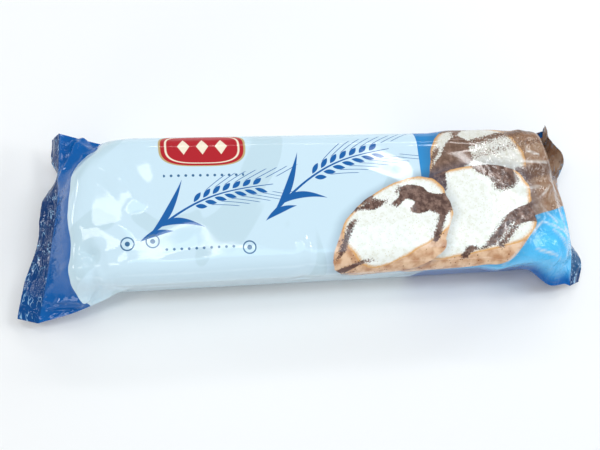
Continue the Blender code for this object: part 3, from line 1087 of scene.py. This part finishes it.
# Small marks: rings by their middles, each round a dot, and rows of dots by middle, height and half length.
MARK_INK = "3D6B93"
RINGS = ((-0.1165, -0.0225), (-0.1025, -0.0215), (-0.0480, -0.0275))
RING_RADIUS = 0.0036
RING_LINE = 0.0004
RING_DOT = 0.0014
DOT_ROWS = ((-0.0715, 0.0165, 0.0235), (-0.0760, -0.0265, 0.0200))
DOT_PITCH = 0.0042
DOT_RADIUS = 0.0008
LINE_SOFT = 0.0002
DOT_SOFT = 0.0003


def print_small_marks(g, colour, x, y):
    """The rings and the rows of dots over a colour."""
    ink = paint(MARK_INK)
    for place in RINGS:
        radius = g.math("SQRT", (x - place[0]) ** 2.0 + (y - place[1]) ** 2.0)
        colour = g.blend(colour, ink, g.inside(abs(radius - RING_RADIUS), RING_LINE, LINE_SOFT))
        colour = g.blend(colour, ink, g.inside(radius, RING_DOT, DOT_SOFT))
    for middle, height, half in DOT_ROWS:
        dot = g.math("SQRT", g.cell(x - middle, DOT_PITCH) ** 2.0 + (y - height) ** 2.0)
        in_row = g.inside(abs(x - middle), half, LINE_SOFT)
        colour = g.blend(colour, ink, g.inside(dot, DOT_RADIUS, DOT_SOFT) * in_row)
    return colour


def pack_print_group(sprig, cake):
    """The whole print from the flat map, with painted shade in the seals and painted light in the blue."""
    inputs = {"Film": "vector", "Seal": "value"}
    tree, g, given, results = start_group("pack_print", inputs, {"Colour": "colour"})
    place = given["Film"]
    x, y = g.split(place)

    shapes = g.noise(
        g.vector("MULTIPLY", place, SHAPE_STRETCH), SHAPE_SCALE, detail=1.0, distortion=SHAPE_BEND)
    pale = g.blend(paint(PALE), paint(PALE_DEEP), g.rise(shapes, *SHAPE_SPAN) * SHAPE_STRENGTH)
    colour = print_sprigs(g, pale, place, sprig)
    colour = print_small_marks(g, colour, x, y)
    colour = print_badge(g, colour, x, y)

    # Painted light with the printed gradient: brighter to the right and near, fading out beyond the
    # shoulders.
    on_front = g.inside(abs(y), BRIGHT_HALF, BRIGHT_FADE)
    printed_and_lit = g.rise(x - y * BRIGHT_SLANT, *BRIGHT_SPAN) * on_front
    blue = g.blend(paint(BLUE), paint(PRINTED_AND_LIT_BLUE), printed_and_lit)
    # Painted shade over the seals' blue: full away from the left seal's near end, and less there.
    away = g.math("MAXIMUM", g.rise(y, *SEAL_SHADE_ACROSS), g.rise(x, *SEAL_SHADE_ALONG))
    painted_seal_shade = away * (SEAL_SHADE - SEAL_NEAR_SHADE) + SEAL_NEAR_SHADE
    blue = g.blend(blue, paint(SEAL_SHADE_BLUE), given["Seal"] * painted_seal_shade)
    from_middle = abs(x - (PANEL_START + PANEL_END) / 2)
    on_panel = g.inside(from_middle, (PANEL_END - PANEL_START) / 2, PANEL_SOFT)
    colour = g.blend(blue, colour, on_panel)
    colour = print_slices(g, colour, place, cake)
    g.feed(results["Colour"], colour)
    return tree


# The film's roughness: its least, a little more in hazy patches, and more at the ends.
SMOOTHEST = 0.04
HAZE = 0.05
HAZE_SCALE = 60.0
END_HAZE = 0.02

# Fine wrinkles: faint and along the pack where the film is taut, and stronger from each end's span on.
TAUT_STRETCH = (1.0, 4.0, 1.0)
TAUT_SCALE = 35.0
TAUT = 0.03
FINE_SCALE = 120.0
FINE_BEND = 0.6
LEFT_SPAN = (-0.143, -0.170)
LEFT_FINE = 1.5
RIGHT_SPAN = (0.090, 0.140)
RIGHT_FINE = 2.6
WRINKLE_STRENGTH = 0.5
WRINKLE_HEIGHT = 0.0012

# Thin glints painted in the seals as lines, in patches, and the patches of the crests' painted highlights.
CRACKLE_STRETCH = (1.0, 0.45, 1.0)
CRACKLE_SCALE = 260.0
CRACKLE_BEND = 1.2
CRACKLE_WIDTH = 0.020
SEAL_GLINT_SCALE = 90.0
SEAL_GLINT_SPAN = (0.43, 0.56)
CREST_HIGHLIGHT_SCALE = 70.0
CREST_HIGHLIGHT_SPAN = (0.36, 0.60)


def film_gloss_group():
    """Roughness, fine wrinkles, and where glints are painted in the seals and highlights on the crests."""
    outputs = {"Roughness": "value", "Height": "value", "Seal Glints": "value", "Crest Highlight": "value"}
    tree, g, given, results = start_group("film_gloss", {"Film": "vector"}, outputs)
    place = given["Film"]
    x, _ = g.split(place)
    to_left = g.rise(x, *LEFT_SPAN)
    to_right = g.rise(x, *RIGHT_SPAN)
    hazy = g.noise(place, HAZE_SCALE, detail=3.0)
    g.feed(results["Roughness"], hazy * HAZE + (to_left + to_right) * END_HAZE + SMOOTHEST)
    taut = g.noise(g.vector("MULTIPLY", place, TAUT_STRETCH), TAUT_SCALE, detail=2.0) * TAUT
    fine = abs(g.noise(place, FINE_SCALE, detail=3.0, distortion=FINE_BEND) - 0.5)
    g.feed(results["Height"], taut + fine * (to_left * LEFT_FINE + to_right * RIGHT_FINE))
    stretched = g.vector("MULTIPLY", place, CRACKLE_STRETCH)
    crackle = abs(g.noise(stretched, CRACKLE_SCALE, detail=1.0, distortion=CRACKLE_BEND) - 0.5)
    patches = g.rise(g.noise(place, SEAL_GLINT_SCALE, detail=1.0), *SEAL_GLINT_SPAN)
    g.feed(results["Seal Glints"], g.inside(crackle, CRACKLE_WIDTH, CRACKLE_WIDTH) * patches)
    g.feed(results["Crest Highlight"], g.rise(g.noise(place, CREST_HIGHLIGHT_SCALE, detail=2.0), *CREST_HIGHLIGHT_SPAN))
    return tree


# The reflection of a thin film on a matt print, which is fainter than that of solid plastic.
FILM_IOR = 1.36


def printed_film():
    material = bpy.data.materials.new("printed_film")
    material.use_nodes = True
    g = Graph(material.node_tree)
    shader = material.node_tree.nodes["Principled BSDF"]
    film_map = Wire(g, g.node("ShaderNodeUVMap", {}, uv_map="film").outputs["UV"])
    in_seal = Wire(g, g.node("ShaderNodeAttribute", {}, attribute_name="seal").outputs["Fac"])
    on_crest = Wire(g, g.node("ShaderNodeAttribute", {}, attribute_name="crest_highlight").outputs["Fac"])
    inputs = {"Film": film_map, "Seal": in_seal}
    colours = g.use(pack_print_group(grain_sprig_group(), cake_slice_group()), inputs)
    gloss = g.use(film_gloss_group(), {"Film": film_map})
    wrinkles = {"Height": gloss["Height"], "Strength": WRINKLE_STRENGTH, "Distance": WRINKLE_HEIGHT}
    bump = g.node("ShaderNodeBump", wrinkles)
    # Painted glints: pale lines along the seals' crinkles.
    colour = g.blend(colours["Colour"], paint(SEAL_GLINT_BLUE), gloss["Seal Glints"] * in_seal)
    # Painted highlights along the crests of the right end's folds.
    colour = g.blend(colour, paint(CREST_HIGHLIGHT), gloss["Crest Highlight"] * on_crest * CREST_HIGHLIGHT_SHARE)
    g.feed(shader.inputs["Base Color"], colour)
    g.feed(shader.inputs["Roughness"], gloss["Roughness"])
    g.feed(shader.inputs["Normal"], Wire(g, bump.outputs["Normal"]))
    shader.inputs["IOR"].default_value = FILM_IOR
    return material


def select_only(piece):
    bpy.ops.object.select_all(action="DESELECT")
    piece.select_set(True)
    bpy.context.view_layer.objects.active = piece


def flat_sheet(name, columns, rows):
    """A flat sheet of film as a grid of so many points, and each point's (column, row) by its index."""
    bpy.ops.object.select_all(action="DESELECT")
    bpy.ops.mesh.primitive_grid_add(x_subdivisions=columns - 1, y_subdivisions=rows - 1, size=1)
    sheet = bpy.context.active_object
    sheet.name = name
    sheet.data.name = name
    spots = []
    for vertex in sheet.data.vertices:
        i = round((vertex.co.x + 0.5) * (columns - 1))
        j = round((vertex.co.y + 0.5) * (rows - 1))
        spots.append((i, j))
    return sheet, spots


def print_pull(x, across):
    """How far the print slid along the film where the left end's corners were drawn together."""
    at_end = smooth((-x - PULL_START) / PULL_LENGTH)
    to_far = smooth((across - PULL_FAR_FROM) / PULL_SPREAD)
    to_near = smooth((-across - PULL_NEAR_FROM) / PULL_SPREAD)
    on_back = smooth((abs(across) - PULL_BACK_FROM) / PULL_BACK_SPREAD)
    return at_end * (PULL_FAR * to_far + PULL_NEAR * to_near) * (1 - on_back)


def film_runs(points):
    """The distance along the film of each row's points from the middle row, column by column."""
    rows, columns = len(points), len(points[0])
    middle = rows // 2
    runs = [[0.0] * columns for _ in range(rows)]
    for i in range(columns):
        for j in range(middle + 1, rows):
            runs[j][i] = runs[j - 1][i] + (points[j][i] - points[j - 1][i]).length
        for j in range(middle - 1, -1, -1):
            runs[j][i] = runs[j + 1][i] - (points[j + 1][i] - points[j][i]).length
    return runs


def write_film_map(mesh, spots, runs, columns):
    """Writes the flat film's own measures as the sheet's UV map, with the print slid where it was pulled."""
    layer = mesh.uv_layers.active
    layer.name = "film"
    for loop in mesh.loops:
        i, j = spots[loop.vertex_index]
        slid = print_pull(runs[j][i], columns[i].across)
        layer.data[loop.index].uv = (runs[j][i] - slid, columns[i].across)


def mark_crest_highlights(mesh):
    """Marks the right end's fold crests, where a pale highlight is painted, for the film's material."""
    marks = mesh.attributes.new("crest_highlight", "FLOAT", "POINT")
    crests = [fold for fold in FOLDS if fold.height > 0 and fold.start[0] > CREST_HIGHLIGHTS_FROM]
    for vertex in mesh.vertices:
        if vertex.normal.z > 0 and vertex.co.x > CREST_HIGHLIGHTS_FROM:
            seen = Vector((vertex.co.x, vertex.co.y))
            distance = min(fold_distance(fold, seen) for fold in crests)
            marks.data[vertex.index].value = clamp(1 - distance / CREST_HIGHLIGHT_WIDTH)


def mark_seals(mesh, spots, rows):
    """Marks each point of the sheet that is pressed into a seal, for its material."""
    marks = mesh.attributes.new("seal", "FLOAT", "POINT")
    for index, (i, j) in enumerate(spots):
        marks.data[index].value = 0.0 if rows[j].out is None else 1.0


def close_seal(bm, ring):
    """Joins the film's two layers along a seal's outer edge, given the points round it from the back seam."""
    film_map = bm.loops.layers.uv.active
    around = len(ring)
    ear = around // 4
    for i in range(around // 2):
        upper = [ring[(ear + i) % around], ring[(ear + i + 1) % around]]
        lower = [ring[(ear - i - 1) % around], ring[(ear - i) % around]]
        face = bm.faces.new(list(dict.fromkeys(upper + lower)))
        face.smooth = True
        for loop in face.loops:
            beside = next(other for other in loop.vert.link_loops if other.face is not face)
            loop[film_map].uv = beside[film_map].uv


def seat_in_box(points):
    """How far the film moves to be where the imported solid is, which is centred over the ground."""
    every = [point for row in points for point in row]
    low = [min(point[i] for point in every) for i in range(2)]
    high = [max(point[i] for point in every) for i in range(2)]
    shift = [(cad_low[i] + cad_high[i] - low[i] - high[i]) / 2 for i in range(2)]
    return Vector((shift[0], shift[1], 0.0))


def crease_film(bm, spot_of, rows, columns):
    """Moves every point of the film along its normal by the creases there."""
    moves = []
    for vertex, (i, j) in spot_of.items():
        if vertex.is_valid:
            moves.append((vertex, vertex.normal * crease(rows[j], columns[i], vertex.co)))
    for vertex, move in moves:
        vertex.co += move


def make_film():
    """The sheet of film, laid round the cake, joined at the back seam, pinched at both ends and creased."""
    rows = film_rows()
    columns = film_columns()
    sheet, spots = flat_sheet("film", len(columns), len(rows))
    points = [[film_place(row, column) for column in columns] for row in rows]
    write_film_map(sheet.data, spots, film_runs(points), columns)
    mark_seals(sheet.data, spots, rows)
    shift = seat_in_box(points)

    bm = bmesh.new()
    bm.from_mesh(sheet.data)
    bm.verts.ensure_lookup_table()
    at = {spot: bm.verts[index] for index, spot in enumerate(spots)}
    spot_of = {vertex: spot for spot, vertex in at.items()}
    for (i, j), vertex in at.items():
        vertex.co = points[j][i] + shift
    last = len(columns) - 1
    for j in (0, len(rows) - 1):
        close_seal(bm, [at[(i, j)] for i in range(last)])
    bmesh.ops.weld_verts(bm, targetmap={at[(last, j)]: at[(0, j)] for j in range(len(rows))})
    bmesh.ops.recalc_face_normals(bm, faces=bm.faces)
    bm.normal_update()
    crease_film(bm, spot_of, rows, columns)
    bm.to_mesh(sheet.data)
    bm.free()
    mark_crest_highlights(sheet.data)

    select_only(sheet)
    bpy.ops.object.shade_smooth_by_angle(angle=SHARP_ANGLE)
    return sheet, shift


def seam_column(y):
    """The column of the film's underside at y, above the back seam's flap."""
    return Column(-1, Vector((y, seam_lift(y))), 2 * y / BASE_WIDTH, 0.0)


def make_back_seam(shift, material):
    """The film's two long edges, sealed face to face and folded flat under the pack."""
    rows = [row for row in film_rows() if row.out is None]
    flap, spots = flat_sheet("back_seam", SEAM_COLUMNS, len(rows))
    half_film = film_columns()[-1].across
    across = [SEAM_WIDTH * (i / (SEAM_COLUMNS - 1) - 0.5) for i in range(SEAM_COLUMNS)]
    layer = flap.data.uv_layers.active
    layer.name = "film"
    for loop in flap.data.loops:
        i, j = spots[loop.vertex_index]
        y = across[i]
        layer.data[loop.index].uv = (film_place(rows[j], seam_column(y)).x, half_film - y)
    for vertex, (i, j) in zip(flap.data.vertices, spots):
        y = across[i]
        place = film_place(rows[j], seam_column(y)) + shift
        edge_wave = SEAM_WAVE * bumps("seam wave", place.x, 0.0) * i / SEAM_COLUMNS
        crimp = SEAM_CRIMP * math.sin(math.tau * y / SEAM_CRIMP_STEP)
        vertex.co = place + Vector((0.0, edge_wave, crimp - SEAM_DROP))
    select_only(flap)
    solid = flap.modifiers.new("thickness", "SOLIDIFY")
    solid.thickness = SEAM_THICKNESS
    solid.offset = 0.0
    bpy.ops.object.modifier_apply(modifier=solid.name)
    bpy.ops.object.shade_smooth_by_angle(angle=SHARP_ANGLE)
    flap.data.materials.append(material)
    return flap


def make_floor():
    bpy.ops.object.select_all(action="DESELECT")
    bpy.ops.mesh.primitive_plane_add(size=FLOOR_SIZE, location=(0.0, 0.0, -FLOOR_GAP))
    floor = bpy.context.active_object
    floor.name = "floor"
    material = bpy.data.materials.new("pale_floor")
    material.use_nodes = True
    shader = material.node_tree.nodes["Principled BSDF"]
    shader.inputs["Base Color"].default_value = FLOOR_COLOUR
    shader.inputs["Roughness"].default_value = FLOOR_ROUGHNESS
    floor.data.materials.append(material)


def make_softbox(name, place, size, power, aim=(0.0, 0.0, 0.0), colour=(1.0, 1.0, 1.0)):
    """A rectangular lamp at a place, turned towards a point."""
    bpy.ops.object.light_add(type="AREA", location=place)
    lamp = bpy.context.active_object
    lamp.name = name
    lamp.data.shape = "RECTANGLE"
    lamp.data.size, lamp.data.size_y = size
    lamp.data.energy = power
    lamp.data.color = colour
    lamp.rotation_euler = (Vector(place) - Vector(aim)).to_track_quat("Z", "Y").to_euler()
    return lamp


def light_studio():
    world = bpy.data.worlds.new("studio")
    bpy.context.scene.world = world
    world.use_nodes = True
    background = world.node_tree.nodes["Background"]
    background.inputs["Color"].default_value = WORLD_COLOUR
    background.inputs["Strength"].default_value = WORLD_STRENGTH
    for lamp in SOFTBOXES:
        make_softbox(**lamp)


def make_camera():
    """The camera at the photo's viewing angle, turned about its own view line by VIEW_ROLL."""
    back = Vector((
        math.sin(VIEW_AZIMUTH) * math.cos(VIEW_ELEVATION),
        -math.cos(VIEW_AZIMUTH) * math.cos(VIEW_ELEVATION),
        math.sin(VIEW_ELEVATION),
    ))
    right = (-back).cross(Vector((0, 0, 1))).normalized()
    up = right.cross(-back)
    turned_right = right * math.cos(VIEW_ROLL) + up * math.sin(VIEW_ROLL)
    turned_up = up * math.cos(VIEW_ROLL) - right * math.sin(VIEW_ROLL)
    camera = bpy.data.objects.new("camera", bpy.data.cameras.new("camera"))
    bpy.context.scene.collection.objects.link(camera)
    turn = Matrix((turned_right, turned_up, back)).transposed().to_4x4()
    camera.matrix_world = Matrix.Translation(VIEW_TARGET + back * VIEW_DISTANCE) @ turn
    camera.data.lens = VIEW_LENS
    camera.data.clip_start = VIEW_NEAREST
    bpy.context.scene.camera = camera


film, film_shift = make_film()
film_material = printed_film()
film.data.materials.append(film_material)
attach(film, "root")
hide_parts("flow_wrap")
back_seam = make_back_seam(film_shift, film_material)
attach(back_seam, "root")
make_floor()
light_studio()
make_camera()
bpy.context.scene.view_settings.view_transform = "Standard"
